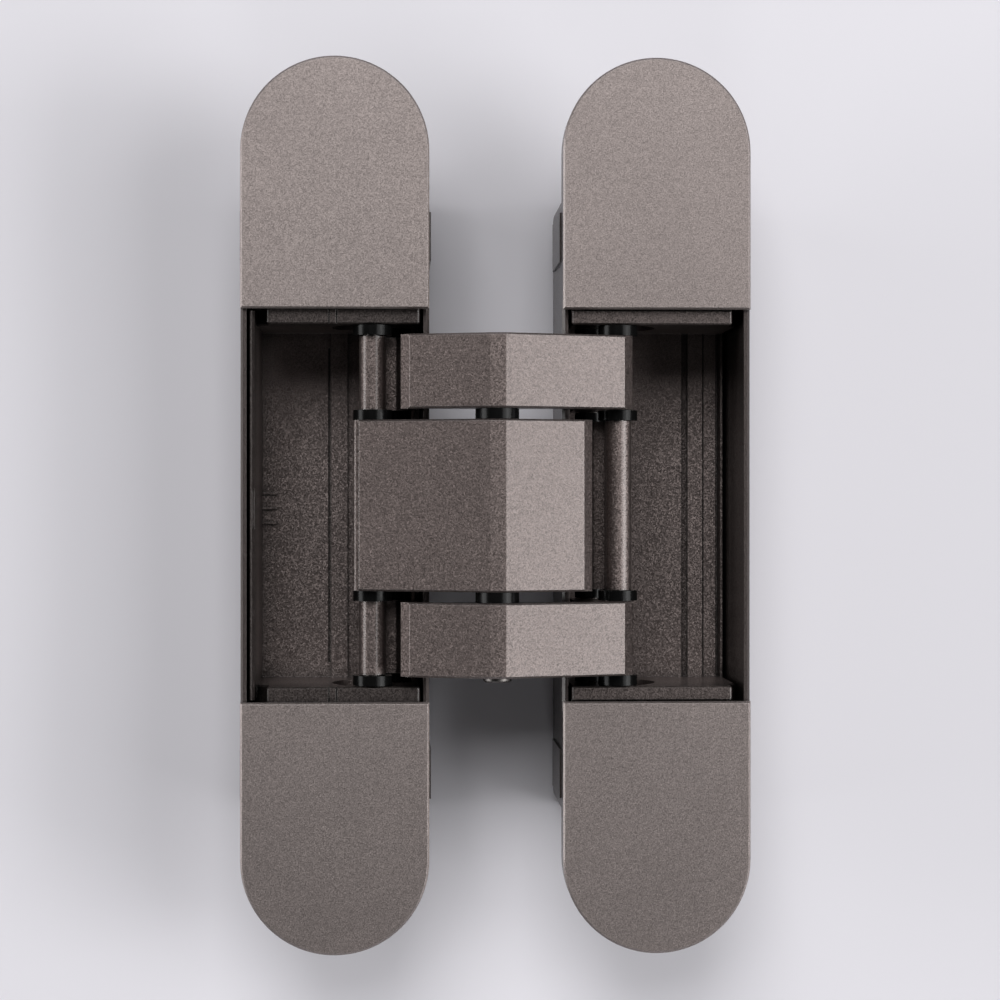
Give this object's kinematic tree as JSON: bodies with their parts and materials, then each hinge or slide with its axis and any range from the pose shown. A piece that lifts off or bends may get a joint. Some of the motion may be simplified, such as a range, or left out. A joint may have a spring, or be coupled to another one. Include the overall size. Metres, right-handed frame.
{
  "type": "concealed door hinge",
  "caption": "Concealed invisible door hinge, opened to 180 degrees: two stadium-ended housings with clip covers, joined by three crossing arms on pins, with height and side adjustment.",
  "frame": {"origin": "centre of the bounding box, on the plane of the housings' backs", "axes": "+Z out of the face plates, +Y along the pins (up when fitted), -X the frame half, +X the door half"},
  "size_m": [0.0688, 0.12, 0.0312],
  "materials": {
    "paint_light": "metallic sprayed paint, satin",
    "paint_body": "metallic sprayed paint, satin",
    "paint_arms": "metallic sprayed paint, satin",
    "pin_steel": "ground",
    "black_plastic": "matt",
    "bronze": "sintered",
    "zinc_steel": "zinc plated"
  },
  "bodies": {
    "frame_half": {"frame_housing": "paint_body", "frame_cover_top": "paint_light", "frame_cover_bottom": "paint_light", "frame_clamp_screws": "zinc_steel"},
    "height_adjuster": {"height_screw": "zinc_steel"},
    "frame_slide": {"frame_carrier": "paint_body", "frame_fixed_pin": "pin_steel", "frame_pin_spacers": "black_plastic"},
    "centre_link": {"middle_arm": "paint_arms", "middle_arm_bushes": "bronze", "centre_bushes": "bronze", "door_slide_pin": "pin_steel", "door_slide_washers": "black_plastic", "door_slide_rollers": "black_plastic"},
    "outer_links": {"upper_arm": "paint_arms", "lower_arm": "paint_arms", "outer_arm_bushes": "bronze", "centre_pin": "pin_steel", "centre_washers": "black_plastic", "frame_slide_pin": "pin_steel", "frame_slide_washers": "black_plastic", "frame_slide_rollers": "black_plastic"},
    "door_slide": {"door_carrier": "paint_body", "door_fixed_pin": "pin_steel", "door_pin_spacers": "black_plastic"},
    "side_adjuster_top": {"side_screw_top": "zinc_steel", "side_screw_clip_top": "zinc_steel"},
    "side_adjuster_bottom": {"side_screw_bottom": "zinc_steel", "side_screw_clip_bottom": "zinc_steel"},
    "door_half": {"door_housing": "paint_body", "door_cover_top": "paint_light", "door_cover_bottom": "paint_light"}
  },
  "joints": [
    {"name": "height_screw_turn", "type": "hinge", "parent": "frame_half", "child": "height_adjuster", "pos_m": [-0.03055, 0.038, 0.016], "axis": [0, 1, 0], "range_deg": [-1080, 1080]},
    {"name": "height_slide", "type": "slide", "parent": "frame_half", "child": "frame_slide", "axis": [0, 1, 0], "range_m": [-0.0021, 0.0021]},
    {"name": "fold", "type": "hinge", "parent": "frame_slide", "child": "centre_link", "pos_m": [-0.01355, 0, 0.0125], "axis": [0, -1, 0], "range_deg": [0, 85]},
    {"name": "centre_turn", "type": "hinge", "parent": "centre_link", "child": "outer_links", "pos_m": [0, 0, 0.028], "axis": [0, -1, 0], "range_deg": [0, 10]},
    {"name": "door_turn", "type": "hinge", "parent": "outer_links", "child": "door_slide", "pos_m": [0.01355, 0, 0.0125], "axis": [0, -1, 0], "range_deg": [0, 85]},
    {"name": "side_screw_top_turn", "type": "hinge", "parent": "door_slide", "child": "side_adjuster_top", "pos_m": [0.02155, 0.0345, 0.019], "axis": [0, 0, 1], "range_deg": [-720, 720]},
    {"name": "side_screw_bottom_turn", "type": "hinge", "parent": "door_slide", "child": "side_adjuster_bottom", "pos_m": [0.02155, -0.0345, 0.019], "axis": [0, 0, 1], "range_deg": [-720, 720]},
    {"name": "side_slide", "type": "slide", "parent": "door_slide", "child": "door_half", "axis": [0, 0, 1], "range_m": [-0.001, 0.001]}
  ],
  "couplings": [
    {"joint": "height_screw_turn", "follows": "height_slide", "rad_per_m": 8975.9},
    {"joint": "centre_turn", "follows": "fold", "ratio": 0.11765},
    {"joint": "door_turn", "follows": "fold", "ratio": 1},
    {"joint": "side_screw_top_turn", "follows": "side_slide", "rad_per_m": 12566},
    {"joint": "side_screw_bottom_turn", "follows": "side_slide", "rad_per_m": 12566}
  ]
}
